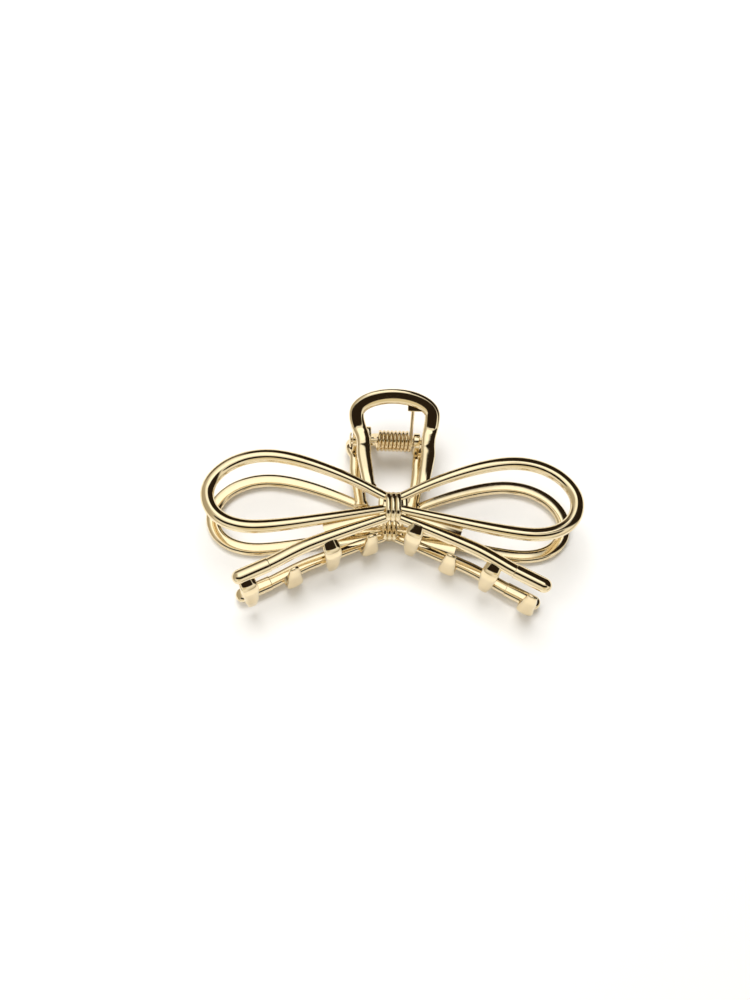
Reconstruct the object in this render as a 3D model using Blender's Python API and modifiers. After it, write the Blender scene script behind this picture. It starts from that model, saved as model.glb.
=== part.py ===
"""Bow-shaped hair claw clip, closed and lying on its back half.

Two cast halves turn on one pin, and a torsion spring on that pin holds them closed. Both halves are
one casting design: the back one is the front one turned half a turn about the line from the teeth to
the handle, with a shorter handle. Each half carries a three-turn binding around the knot of its bow.

The casting frame has its origin on the pin axis: X runs along the pin, Y from the teeth to the handle,
and Z out of the middle plane between the halves. Sizes are in metres.
"""

import math

import bmesh
import bpy
from mathutils import Matrix, Vector

MM = 0.001
GAP = 0.3 * MM                    # clearance between pieces that touch on the real clip
WELD = 0.001 * MM                 # merge distance when curve caps are closed
FINE_WELD = 0.00005 * MM          # merge distance after a Boolean

# Bow: places are measured from the middle of the knot, heights from the middle plane.
KNOT_DROP = 18.7 * MM             # from the pin axis to the knot
KNOT_HEIGHT = 6.8 * MM
LOOP_TOP = (27.5 * MM, 10.8 * MM)
LOOP_END = (41.2 * MM, 1.0 * MM)
LOOP_BOTTOM = (31.0 * MM, -6.3 * MM)
LOOP_ROOT_UPPER = 2.1 * MM
LOOP_ROOT_LOWER = -0.9 * MM
LOOP_TOP_HEIGHT = 7.7 * MM
LOOP_END_HEIGHT = 7.9 * MM
LOOP_BOTTOM_HEIGHT = 8.1 * MM
LEAVING_REACH = 7.0 * MM          # lengths of the curve handles, from the knot round the loop and back
TOP_REACH = 8.4 * MM
END_REACH = 4.6 * MM
BOTTOM_REACH = 6.0 * MM
RETURNING_REACH = 9.0 * MM
ROD_WIDTH = 3.1 * MM
ROD_THICKNESS = 2.0 * MM
ROOT_SCALE = 0.72                 # rods are thinner where they enter the knot

TAIL_ROOT = -3.0 * MM
TAIL_BEND = (19.3 * MM, -10.2 * MM)
TAIL_SEAM = (26.9 * MM, -14.5 * MM)
TAIL_END = (33.1 * MM, -17.6 * MM)
TAIL_HEIGHT = 7.1 * MM
TAIL_TIP_SCALE = 1.1              # the end piece is a little thicker than the tail
TAIL_STEP = 0.15 * MM             # length of the step at its seam
TAIL_ROOT_REACH = 5.0 * MM        # lengths of the curve handles
TAIL_BEND_REACH = 4.0 * MM

WEB_REACH = 15.2 * MM             # the sunk web between loop and tail ends here
WEB_THICKNESS = 0.8 * MM
WEB_SINK = 0.35 * MM

# Knot core and the binding around it.
CORE_HALF_WIDTH = 2.0 * MM        # half its size along Y
CORE_OFFSET = -0.3 * MM           # its middle, from the middle of the knot
CORE_THICKNESS = 1.5 * MM
SHOULDER_LENGTH = 1.2 * MM        # lump beside the binding
SHOULDER_THICKNESS = 1.1 * MM
SHOULDER_SINK = 0.2 * MM
RIB_COUNT = 3
RIB_PITCH = 1.0 * MM
RIB_RADIUS = 0.55 * MM

# Teeth: places of their roots along the tails. Turning the back half over puts its teeth between these.
TOOTH_PLACES = (-32.2 * MM, -14.2 * MM, 5.5 * MM, 23.0 * MM)
TOOTH_ROOT_WIDTH = 3.9 * MM
TOOTH_THICKNESS = 1.9 * MM
TOOTH_BULGES = (3.5 * MM, 3.5 * MM, 2.8 * MM, 3.5 * MM)     # how far each stands outside its tail's middle
TOOTH_TIP_HEIGHT = -6.0 * MM      # past the middle plane, beside the other tail

# Arms and handle.
ARM_HEIGHT = 4.6 * MM             # middle of the arms above the pin axis
ARM_WIDTH = 3.3 * MM
ARM_THICKNESS = 2.0 * MM
ARM_BOW_SCALE = 0.82
LEFT_ARM_HINGE = -6.7 * MM
RIGHT_ARM_HINGE = 8.0 * MM
LEFT_ARM_BOW = -5.2 * MM
RIGHT_ARM_BOW = 6.7 * MM
ARM_BOW_END = 3.8 * MM            # from the knot
ARM_BOW_HEIGHT = 5.7 * MM
ARM_TURN_PLACE = -5.0 * MM        # from here on the arm runs parallel to Y
ARM_TURN_RISE = 0.4 * MM
ARM_REACHES = (4.0 * MM, 2.5 * MM, 1.5 * MM)
ARM_OVERLAP = 0.6 * MM            # it runs this far past the bend line
HANDLE_BEND = -0.7 * MM           # the bend line, measured from the pin axis
HANDLE_CENTRE = 0.2 * MM
HANDLE_HALF_WIDTH = 8.75 * MM     # to the middle of the band
HANDLE_BAND = 3.5 * MM
HANDLE_FOOT_SPREAD = 0.6 * MM     # the band starts this far outside each arm
HANDLE_START = -1.4 * MM          # and this far before the bend line
HANDLE_SIDE_REACH = 0.58          # shares of the crown, of the half width and of the sides' rise
HANDLE_CROWN_REACH = 0.52
HANDLE_START_REACH = 0.3
FRONT_HANDLE_LENGTH = 9.3 * MM    # from the bend to the middle of the band's crown
FRONT_HANDLE_CROWN = 4.3 * MM     # from where the sides are widest to the middle of the crown
FRONT_HANDLE_LEAN = math.radians(22.0)
BACK_HANDLE_LENGTH = 5.9 * MM
BACK_HANDLE_CROWN = 4.0 * MM
BACK_HANDLE_LEAN = math.radians(34.0)
LEDGE_REACH = 3.2 * MM            # the spring's ledge runs from here to the right side of the handle
FRONT_LEDGE_PLACE = 5.7 * MM      # from the bend
BACK_LEDGE_PLACE = 2.5 * MM
LEDGE_WIDTH = 1.6 * MM
LEDGE_THICKNESS = 0.9 * MM
LEDGE_SINK = 0.3 * MM             # inward from the middle of the band

# Hinge.
PIN_RADIUS = 0.5 * MM
BORE_RADIUS = PIN_RADIUS + GAP
EAR_RADIUS = 2.0 * MM
INNER_EAR = (-6.5 * MM, -5.0 * MM)
OUTER_EAR = (7.9 * MM, 9.2 * MM)
HEAD_RADIUS = 1.8 * MM
HEAD_THICKNESS = 0.5 * MM
PEEN_RADIUS = 1.0 * MM
PEEN_THICKNESS = 0.5 * MM

# Spring.
WIRE_RADIUS = 0.4 * MM
COIL_RADIUS = 2.1 * MM            # to the middle of the wire
COIL_TURNS = 8
COIL_CENTRE = 0.45 * MM
COIL_PITCH = 0.9 * MM
POINTS_PER_TURN = 14

STAND_HEIGHT = 8.98 * MM          # middle plane above the surface that the clip lies on

GOLD = (0.83, 0.69, 0.45)
SPRING_GOLD = (0.72, 0.60, 0.40)


def clear_scene():
    for obj in list(bpy.data.objects):
        bpy.data.objects.remove(obj, do_unlink=True)


def new_collection(name):
    collection = bpy.data.collections.new(name)
    bpy.context.scene.collection.children.link(collection)
    return collection


def metal(name, colour, roughness):
    material = bpy.data.materials.new(name)
    material.use_nodes = True
    shader = material.node_tree.nodes["Principled BSDF"]
    shader.inputs["Base Color"].default_value = (*colour, 1.0)
    shader.inputs["Metallic"].default_value = 1.0
    shader.inputs["Roughness"].default_value = roughness
    return material


def add_object(name, data, collection):
    obj = bpy.data.objects.new(name, data)
    collection.objects.link(obj)
    return obj


def freeze(obj, collection, weld=WELD):
    """Replace an object by a closed mesh of its evaluated shape, in the same place."""
    bpy.context.view_layer.update()
    shape = obj.evaluated_get(bpy.context.evaluated_depsgraph_get())
    mesh = bpy.data.meshes.new_from_object(shape)
    mesh.transform(obj.matrix_world)
    edit = bmesh.new()
    edit.from_mesh(mesh)
    bmesh.ops.remove_doubles(edit, verts=edit.verts, dist=weld)
    bmesh.ops.recalc_face_normals(edit, faces=edit.faces)
    edit.to_mesh(mesh)
    edit.free()
    name = obj.name
    bpy.data.objects.remove(obj, do_unlink=True)
    return add_object(name, mesh, collection)


def unite(body, others, collection):
    """Boolean union of one mesh with several others, which are used up."""
    joined = new_collection("joined_shapes")
    for other in others:
        joined.objects.link(other)
    union = body.modifiers.new("union", "BOOLEAN")
    union.operation = "UNION"
    union.solver = "EXACT"
    union.operand_type = "COLLECTION"
    union.collection = joined
    result = freeze(body, collection, FINE_WELD)
    for other in others:
        bpy.data.objects.remove(other, do_unlink=True)
    bpy.data.collections.remove(joined)
    return result


def finish(obj, material, parent):
    obj.data.materials.clear()
    obj.data.materials.append(material)
    obj.data.shade_smooth()
    obj.data.set_sharp_from_angle(angle=math.radians(35.0))
    obj.parent = parent
    return obj


def domed_outline(width, thickness, points=9):
    """Rod section: a rounded outer side, short flanks and a flat inner side."""
    arc_base = -0.1 * thickness
    arc = [math.pi * i / (points - 1) for i in range(points)]
    outline = [(width / 2 * math.cos(a), arc_base + 0.6 * thickness * math.sin(a)) for a in arc]
    return outline + [(-0.42 * width, -thickness / 2), (0.42 * width, -thickness / 2)]


def section_curve(name, outline, collection):
    """Closed flat curve that a sweep uses as its section."""
    data = bpy.data.curves.new(name, "CURVE")
    data.dimensions = "2D"
    data.fill_mode = "NONE"
    spline = data.splines.new("POLY")
    spline.points.add(len(outline) - 1)
    for point, (x, y) in zip(spline.points, outline):
        point.co = (x, y, 0.0, 1.0)
    spline.use_cyclic_u = True
    return add_object(name, data, collection)


def rod(name, stations, section, cutters, steps=7):
    """Sweep a section along a Bezier path.

    A station is (place, direction, reach, scale): the path runs through place along direction, its
    handles are reach long, and the section is scaled there.
    """
    data = bpy.data.curves.new(name, "CURVE")
    data.dimensions = "3D"
    data.twist_mode = "Z_UP"
    data.resolution_u = steps
    data.bevel_mode = "OBJECT"
    data.bevel_object = section
    data.use_fill_caps = True
    spline = data.splines.new("BEZIER")
    spline.bezier_points.add(len(stations) - 1)
    for point, (place, direction, reach, scale) in zip(spline.bezier_points, stations):
        handle = Vector(direction).normalized() * reach
        point.handle_left_type = "FREE"
        point.handle_right_type = "FREE"
        point.co = place
        point.handle_left = Vector(place) - handle
        point.handle_right = Vector(place) + handle
        point.radius = scale
    return freeze(add_object(name, data, cutters), cutters)


def wire(name, points, radius, cutters, radii=None):
    """Round wire through the given points, with closed ends."""
    data = bpy.data.curves.new(name, "CURVE")
    data.dimensions = "3D"
    data.bevel_depth = radius
    data.bevel_resolution = 2
    data.use_fill_caps = True
    spline = data.splines.new("POLY")
    spline.points.add(len(points) - 1)
    for i, place in enumerate(points):
        spline.points[i].co = (*place, 1.0)
        spline.points[i].radius = radii[i] if radii else 1.0
    return freeze(add_object(name, data, cutters), cutters)


def box(name, low, high, cutters):
    mesh = bpy.data.meshes.new(name)
    edit = bmesh.new()
    bmesh.ops.create_cube(edit, size=1.0)
    edit.to_mesh(mesh)
    edit.free()
    size = [b - a for a, b in zip(low, high)]
    middle = [(a + b) / 2 for a, b in zip(low, high)]
    mesh.transform(Matrix.Translation(middle) @ Matrix.Diagonal((*size, 1.0)))
    return add_object(name, mesh, cutters)


def from_knot(x, y, height):
    return Vector((x, y - KNOT_DROP, height))


def loop_rod(side, section, cutters):
    """One bow loop: out along the top, round the end and back along the bottom."""
    root = side * (BINDING_HALF + GAP)
    leaving = from_knot(root, LOOP_ROOT_UPPER, KNOT_HEIGHT)
    top = from_knot(side * LOOP_TOP[0], LOOP_TOP[1], LOOP_TOP_HEIGHT)
    end = from_knot(side * LOOP_END[0], LOOP_END[1], LOOP_END_HEIGHT)
    bottom = from_knot(side * LOOP_BOTTOM[0], LOOP_BOTTOM[1], LOOP_BOTTOM_HEIGHT)
    returning = from_knot(root, LOOP_ROOT_LOWER, KNOT_HEIGHT)
    stations = [
        (leaving, (side * 0.90, 0.44, 0.0), LEAVING_REACH, ROOT_SCALE),
        (top, (side, 0.02, 0.0), TOP_REACH, 1.0),
        (end, (side * -0.08, -1.0, 0.1), END_REACH, 1.0),
        (bottom, (-side, 0.0, 0.0), BOTTOM_REACH, 1.0),
        (returning, (-side, 0.20, -0.06), RETURNING_REACH, ROOT_SCALE),
    ]
    return rod("loop_rod", stations, section, cutters)


def tail_rod(side, section, cutters):
    """One tail, with the small step up to its thicker rounded end piece."""
    leaving = from_knot(side * (BINDING_HALF + GAP), TAIL_ROOT, KNOT_HEIGHT)
    bend = from_knot(side * TAIL_BEND[0], TAIL_BEND[1], TAIL_HEIGHT)
    seam = from_knot(side * TAIL_SEAM[0], TAIL_SEAM[1], TAIL_HEIGHT)
    end = from_knot(side * TAIL_END[0], TAIL_END[1], TAIL_HEIGHT)
    along = (end - seam).normalized()
    short = 0.3 * TAIL_STEP
    stations = [
        (leaving, (side * 0.93, -0.36, 0.0), TAIL_ROOT_REACH, ROOT_SCALE),
        (bend, (side * 0.90, -0.46, 0.0), TAIL_BEND_REACH, 1.0),
        (seam - along * TAIL_STEP, along, short, 1.0),
        (seam, along, short, TAIL_TIP_SCALE),
        (end, along, 0.5 * MM, TAIL_TIP_SCALE),
    ]
    half = ROD_WIDTH / 2 * TAIL_TIP_SCALE
    for turn in (30.0, 55.0, 75.0):
        angle = math.radians(turn)
        place = end + along * half * math.sin(angle)
        stations.append((place, along, 0.05 * MM, TAIL_TIP_SCALE * math.cos(angle)))
    return rod("tail_rod", stations, section, cutters, steps=2)


def tail_place(x):
    """Middle of the tail at a distance x from the knot, on straight runs between its bends."""
    reach = abs(x)
    route = [(BINDING_HALF, TAIL_ROOT), TAIL_BEND, TAIL_SEAM, TAIL_END]
    for (x0, y0), (x1, y1) in zip(route, route[1:]):
        if reach <= x1:
            break
    share = (reach - x0) / (x1 - x0)
    return from_knot(x, y0 + share * (y1 - y0), TAIL_HEIGHT)


def tail_direction(x):
    """Unit direction of the tail at x, away from the knot."""
    step = 0.5 * MM * (1 if x > 0 else -1)
    return (tail_place(x) - tail_place(x - step)).normalized()


def tooth(x, bulge, cutters):
    """Tapered hook: outward over the tail, square to it, then across to the other half."""
    root = tail_place(x)
    drop = root.z - TOOTH_TIP_HEIGHT
    along = tail_direction(x)
    lean = math.atan2(along.y, along.x) + (math.pi if x < 0 else 0.0)
    profile = [
        (0.0, 0.0, 0.75),
        (0.45, 0.035, 0.95),
        (0.78, 0.10, 1.0),
        (0.97, 0.23, 1.0),
        (1.02, 0.45, 0.9),
        (1.02, 0.72, 0.75),
        (1.00, 0.97, 0.58),
        (0.98, 1.0, 0.35),
    ]
    points = [(0.0, -bulge * out, -drop * down) for out, down, _ in profile]
    radii = [scale for _, _, scale in profile]
    hook = wire("tooth", points, TOOTH_THICKNESS / 2, cutters, radii)
    stretch = Matrix.Diagonal((TOOTH_ROOT_WIDTH / TOOTH_THICKNESS, 1.0, 1.0, 1.0))
    hook.data.transform(Matrix.Translation(root) @ Matrix.Rotation(lean, 4, "Z") @ stretch)
    return hook


def web(side, cutters):
    """Sunk plate between a loop's lower rod and the tail, thickened from an open strip."""
    low_slope = (LOOP_BOTTOM_HEIGHT - KNOT_HEIGHT) / LOOP_BOTTOM[0]
    rows = 6
    edit = bmesh.new()
    strip = []
    for i in range(rows):
        x = CORE_HALF_LENGTH + (WEB_REACH - CORE_HALF_LENGTH) * i / (rows - 1)
        tail = tail_place(side * x)
        share = x / LOOP_BOTTOM[0]
        upper = LOOP_ROOT_LOWER + (LOOP_BOTTOM[1] - LOOP_ROOT_LOWER) * share
        loop = from_knot(side * x, upper, KNOT_HEIGHT + low_slope * x)
        strip.append([edit.verts.new(place - Vector((0, 0, WEB_SINK))) for place in (loop, tail)])
    for (a, b), (c, d) in zip(strip, strip[1:]):
        edit.faces.new((a, b, d, c))
    mesh = bpy.data.meshes.new("web")
    edit.to_mesh(mesh)
    edit.free()
    plate = add_object("web", mesh, cutters)
    wall = plate.modifiers.new("wall", "SOLIDIFY")
    wall.thickness = WEB_THICKNESS
    wall.offset = 0.0
    return freeze(plate, cutters)


def knot_core(cutters):
    """Oval bar through the binding that joins the rods of both sides."""
    mesh = bpy.data.meshes.new("knot_core")
    edit = bmesh.new()
    bmesh.ops.create_cone(
        edit, cap_ends=True, segments=24, radius1=1.0, radius2=1.0, depth=2 * CORE_HALF_LENGTH
    )
    edit.to_mesh(mesh)
    edit.free()
    turn = Matrix.Rotation(math.radians(90.0), 4, "Y")
    stretch = Matrix.Diagonal((1.0, CORE_HALF_WIDTH, CORE_THICKNESS / 2, 1.0))
    mesh.transform(Matrix.Translation(from_knot(0.0, CORE_OFFSET, KNOT_HEIGHT)) @ stretch @ turn)
    return add_object("knot_core", mesh, cutters)


def shoulder(side, cutters):
    """Lump beside the binding where the three rods of one side run together."""
    mesh = bpy.data.meshes.new("shoulder")
    edit = bmesh.new()
    bmesh.ops.create_cube(edit, size=1.0)
    edit.to_mesh(mesh)
    edit.free()
    top = LOOP_ROOT_UPPER + 0.3 * ROD_WIDTH
    bottom = TAIL_ROOT - 0.3 * ROD_WIDTH
    inner = BINDING_HALF + GAP
    place = from_knot(side * (inner + SHOULDER_LENGTH / 2), (top + bottom) / 2, KNOT_HEIGHT - SHOULDER_SINK)
    stretch = Matrix.Diagonal((SHOULDER_LENGTH, top - bottom, SHOULDER_THICKNESS, 1.0))
    mesh.transform(Matrix.Translation(place) @ stretch)
    return add_object("shoulder", mesh, cutters)


def arm(hinge_x, bow_x, section, cutters):
    """Arm from under the bow's upper rod to the bend of the handle."""
    bow_end = from_knot(bow_x, ARM_BOW_END, ARM_BOW_HEIGHT)
    turn = Vector((hinge_x, ARM_TURN_PLACE, ARM_HEIGHT + ARM_TURN_RISE))
    hinge_end = Vector((hinge_x, HANDLE_BEND + ARM_OVERLAP, ARM_HEIGHT))
    stations = [
        (bow_end, (hinge_x - bow_x, 9 * MM, ARM_TURN_RISE), ARM_REACHES[0], ARM_BOW_SCALE),
        (turn, (0.0, 1.0, -0.08), ARM_REACHES[1], 1.0),
        (hinge_end, (0.0, 1.0, 0.0), ARM_REACHES[2], 1.0),
    ]
    return rod("arm", stations, section, cutters, steps=4)


def handle(length, crown, lean, ledge_place, section, cutters):
    """Flat arch of the handle, made in its own plane and then leaned outward about the bend."""
    left = HANDLE_CENTRE - HANDLE_HALF_WIDTH
    right = HANDLE_CENTRE + HANDLE_HALF_WIDTH
    shoulder_place = length - crown
    side_reach = HANDLE_SIDE_REACH * crown
    crown_reach = HANDLE_CROWN_REACH * HANDLE_HALF_WIDTH
    rise = shoulder_place - HANDLE_START
    left_foot = LEFT_ARM_HINGE - HANDLE_FOOT_SPREAD
    right_foot = RIGHT_ARM_HINGE + HANDLE_FOOT_SPREAD
    start_reach = HANDLE_START_REACH * rise
    stations = [
        (Vector((left_foot, HANDLE_START, 0.0)), (left - left_foot, rise, 0.0), start_reach, 1.0),
        (Vector((left, shoulder_place, 0.0)), (0.0, 1.0, 0.0), side_reach, 1.0),
        (Vector((HANDLE_CENTRE, length, 0.0)), (1.0, 0.0, 0.0), crown_reach, 1.0),
        (Vector((right, shoulder_place, 0.0)), (0.0, -1.0, 0.0), side_reach, 1.0),
        (Vector((right_foot, HANDLE_START, 0.0)), (right_foot - right, -rise, 0.0), start_reach, 1.0),
    ]
    arch = rod("handle", stations, section, cutters, steps=8)
    ledge_end = right - HANDLE_BAND / 4
    low = (LEDGE_REACH, ledge_place, -LEDGE_THICKNESS / 2 - LEDGE_SINK)
    high = (ledge_end, ledge_place + LEDGE_WIDTH, LEDGE_THICKNESS / 2 - LEDGE_SINK)
    ledge = box("ledge", low, high, cutters)
    place = Matrix.Translation((0.0, HANDLE_BEND, ARM_HEIGHT)) @ Matrix.Rotation(lean, 4, "X")
    for piece in (arch, ledge):
        piece.data.transform(place)
    return [arch, ledge]


def ear(span, cutters):
    """Hinge ear: a plate with a round end and a bore, from the arm down to the pin."""
    data = bpy.data.curves.new("ear", "CURVE")
    data.dimensions = "2D"
    data.fill_mode = "BOTH"
    data.extrude = (span[1] - span[0]) / 2
    steps = 12
    outline = [(-EAR_RADIUS, ARM_HEIGHT), (EAR_RADIUS, ARM_HEIGHT)]
    for i in range(steps + 1):
        angle = -math.pi * i / steps
        outline.append((EAR_RADIUS * math.cos(angle), EAR_RADIUS * math.sin(angle)))
    bore_steps = 20
    bore = [
        (BORE_RADIUS * math.cos(math.tau * i / bore_steps), BORE_RADIUS * math.sin(math.tau * i / bore_steps))
        for i in range(bore_steps)
    ]
    for points in (outline, bore):
        spline = data.splines.new("POLY")
        spline.points.add(len(points) - 1)
        for point, (y, z) in zip(spline.points, points):
            point.co = (y, z, 0.0, 1.0)
        spline.use_cyclic_u = True
    plate = add_object("ear", data, cutters)
    stand = Matrix(((0, 0, 1, 0), (1, 0, 0, 0), (0, 1, 0, 0), (0, 0, 0, 1)))
    plate.matrix_world = Matrix.Translation(((span[0] + span[1]) / 2, 0.0, 0.0)) @ stand
    return freeze(plate, cutters)


def casting(name, handle_size, parts, cutters, flat_height=None):
    """One half of the clip as a single closed body, in the casting frame."""
    rod_section = section_curve("rod_section", domed_outline(ROD_WIDTH, ROD_THICKNESS), cutters)
    arm_section = section_curve("arm_section", domed_outline(ARM_WIDTH, ARM_THICKNESS), cutters)
    band_section = section_curve("band_section", domed_outline(HANDLE_BAND, ARM_THICKNESS), cutters)
    body = knot_core(cutters)
    shapes = [shoulder(side, cutters) for side in (-1, 1)]
    for side in (-1, 1):
        shapes.append(loop_rod(side, rod_section, cutters))
        shapes.append(tail_rod(side, rod_section, cutters))
        shapes.append(web(side, cutters))
    shapes.append(arm(LEFT_ARM_HINGE, LEFT_ARM_BOW, arm_section, cutters))
    shapes.append(arm(RIGHT_ARM_HINGE, RIGHT_ARM_BOW, arm_section, cutters))
    shapes += handle(*handle_size, band_section, cutters)
    shapes += [ear(span, cutters) for span in (INNER_EAR, OUTER_EAR)]
    shapes += [tooth(x, bulge, cutters) for x, bulge in zip(TOOTH_PLACES, TOOTH_BULGES)]
    body.name = name
    body = unite(body, shapes, parts)
    for section in (rod_section, arm_section, band_section):
        bpy.data.objects.remove(section, do_unlink=True)
    if flat_height is not None:
        far = 60 * MM
        floor = box("floor", (-far, -far, flat_height), (far, far, flat_height + far), cutters)
        floor.hide_render = True
        floor.display_type = "WIRE"
        cut = body.modifiers.new("flat", "BOOLEAN")
        cut.operation = "DIFFERENCE"
        cut.solver = "EXACT"
        cut.object = floor
        body = freeze(body, parts, FINE_WELD)
        bpy.data.objects.remove(floor, do_unlink=True)
    return body


def binding(name, parts, cutters):
    """Three turns of wire around the knot, each an oval ring, joined side by side."""
    half_width = CORE_HALF_WIDTH + GAP + RIB_RADIUS
    half_height = CORE_THICKNESS / 2 + GAP + RIB_RADIUS
    steps = 22
    rings = []
    for i in range(RIB_COUNT):
        x = (i - (RIB_COUNT - 1) / 2) * RIB_PITCH
        data = bpy.data.curves.new("rib", "CURVE")
        data.dimensions = "3D"
        data.bevel_depth = RIB_RADIUS
        data.bevel_resolution = 2
        spline = data.splines.new("POLY")
        spline.points.add(steps - 1)
        for k, point in enumerate(spline.points):
            angle = math.tau * k / steps
            y = CORE_OFFSET + half_width * math.cos(angle)
            place = from_knot(x, y, KNOT_HEIGHT + half_height * math.sin(angle))
            point.co = (*place, 1.0)
        spline.use_cyclic_u = True
        rings.append(freeze(add_object("rib", data, cutters), cutters))
    first = rings[0]
    first.name = name
    return unite(first, rings[1:], parts)


def hinge_pin(parts):
    """Pin with a rivet head on the left and a peened end on the right, turned about its axis."""
    left = -OUTER_EAR[1] - GAP
    right = OUTER_EAR[1] + GAP
    outline = [
        (left - HEAD_THICKNESS, 0.0),
        (left - HEAD_THICKNESS, 0.8 * HEAD_RADIUS),
        (left - 0.5 * HEAD_THICKNESS, HEAD_RADIUS),
        (left, HEAD_RADIUS),
        (left, PIN_RADIUS),
        (right, PIN_RADIUS),
        (right, PEEN_RADIUS),
        (right + 0.5 * PEEN_THICKNESS, 0.85 * PEEN_RADIUS),
        (right + PEEN_THICKNESS, 0.0),
    ]
    mesh = bpy.data.meshes.new("hinge_pin")
    edit = bmesh.new()
    verts = [edit.verts.new((x, radius, 0.0)) for x, radius in outline]
    for a, b in zip(verts, verts[1:]):
        edit.edges.new((a, b))
    edit.to_mesh(mesh)
    edit.free()
    pin = add_object("hinge_pin", mesh, parts)
    turn = pin.modifiers.new("turn", "SCREW")
    turn.axis = "X"
    turn.steps = 20
    turn.render_steps = 20
    turn.use_merge_vertices = True
    turn.merge_threshold = WELD
    return freeze(pin, parts)


def leg_foot(length, crown, lean, ledge_place):
    """Where a spring leg ends, just inside the ledge of a handle, in the casting frame."""
    along = ledge_place + LEDGE_WIDTH
    below = -LEDGE_THICKNESS / 2 - LEDGE_SINK - GAP - WIRE_RADIUS
    place = Matrix.Translation((0.0, HANDLE_BEND, ARM_HEIGHT)) @ Matrix.Rotation(lean, 4, "X")
    return place @ Vector((COIL_CENTRE + COIL_HALF + 0.4 * MM, along, below))


def torsion_spring(parts, cutters):
    """Coil around the pin. Each end leaves over the coil's jaw side and runs to its handle's ledge."""
    front = leg_foot(*FRONT_HANDLE)
    back = leg_foot(*BACK_HANDLE)
    back = Vector((2 * COIL_CENTRE - back.x, back.y, -back.z))

    def release(foot, turn):
        """Angle where the straight leg to this foot touches the coil."""
        reach = math.hypot(foot.y, foot.z)
        return math.atan2(foot.z, foot.y) + turn * math.acos(COIL_RADIUS / reach)

    start = release(back, -1) + math.tau
    end = release(front, 1) - math.tau * COIL_TURNS
    count = round(POINTS_PER_TURN * (start - end) / math.tau)
    points = [back]
    for i in range(count + 1):
        share = i / count
        angle = start + (end - start) * share
        x = COIL_CENTRE + COIL_HALF * (2 * share - 1)
        points.append(Vector((x, COIL_RADIUS * math.cos(angle), COIL_RADIUS * math.sin(angle))))
    points.append(front)
    spring = wire("torsion_spring", points, WIRE_RADIUS, cutters)
    cutters.objects.unlink(spring)
    parts.objects.link(spring)
    return spring


BINDING_HALF = RIB_PITCH * (RIB_COUNT - 1) / 2 + RIB_RADIUS
CORE_HALF_LENGTH = BINDING_HALF + GAP + 0.4 * MM
FRONT_HANDLE = (FRONT_HANDLE_LENGTH, FRONT_HANDLE_CROWN, FRONT_HANDLE_LEAN, FRONT_LEDGE_PLACE)
BACK_HANDLE = (BACK_HANDLE_LENGTH, BACK_HANDLE_CROWN, BACK_HANDLE_LEAN, BACK_LEDGE_PLACE)
COIL_HALF = COIL_PITCH * (COIL_TURNS + 0.3) / 2


def frame_empty(name, parts, parent=None):
    empty = add_object(name, None, parts)
    empty.empty_display_size = 5 * MM
    empty.parent = parent
    return empty


def stand_on_origin(frame, pieces):
    """Move the clip so that the middle of its box's bottom face is the origin."""
    bpy.context.view_layer.update()
    corners = [piece.matrix_world @ vert.co for piece in pieces for vert in piece.data.vertices]
    low = [min(c[i] for c in corners) for i in range(3)]
    high = [max(c[i] for c in corners) for i in range(3)]
    frame.location = (-(low[0] + high[0]) / 2, -(low[1] + high[1]) / 2, -low[2])
    bpy.context.view_layer.update()


def build():
    clear_scene()
    parts = new_collection("bow_claw_clip")
    cutters = new_collection("cutters")
    plated = metal("plated_alloy", GOLD, 0.08)
    steel = metal("plated_spring_steel", SPRING_GOLD, 0.2)

    frame = frame_empty("clip_frame", parts)
    front_half = frame_empty("front_half", parts, frame)
    back_half = frame_empty("back_half", parts, frame)
    back_half.rotation_euler = (0.0, math.pi, 0.0)

    front_jaw = casting("front_jaw", FRONT_HANDLE, parts, cutters)
    back_jaw = casting("back_jaw", BACK_HANDLE, parts, cutters, STAND_HEIGHT)
    pieces = [
        finish(front_jaw, plated, front_half),
        finish(back_jaw, plated, back_half),
        finish(binding("front_knot_binding", parts, cutters), plated, front_half),
        finish(binding("back_knot_binding", parts, cutters), plated, back_half),
        finish(hinge_pin(parts), plated, frame),
        finish(torsion_spring(parts, cutters), steel, frame),
    ]
    stand_on_origin(frame, pieces)


build()
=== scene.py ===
"""Bow-shaped hair claw clip in polished pale gold plating, on a plain studio floor.

Rods, teeth, handles, bindings and the spring are sections carried along paths. The ears are rings, the pin
is turned, and the knots and ledges are rounded blocks. All are worked out in the casting frame: its origin is
on the pin axis, X runs along the pin, Y from the teeth to the handle, and Z out of the middle plane between
the two halves. The back half is the same casting turned half a turn about Y, with its own size of handle.
Sizes are in metres.
"""

import math
from collections import namedtuple

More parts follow.
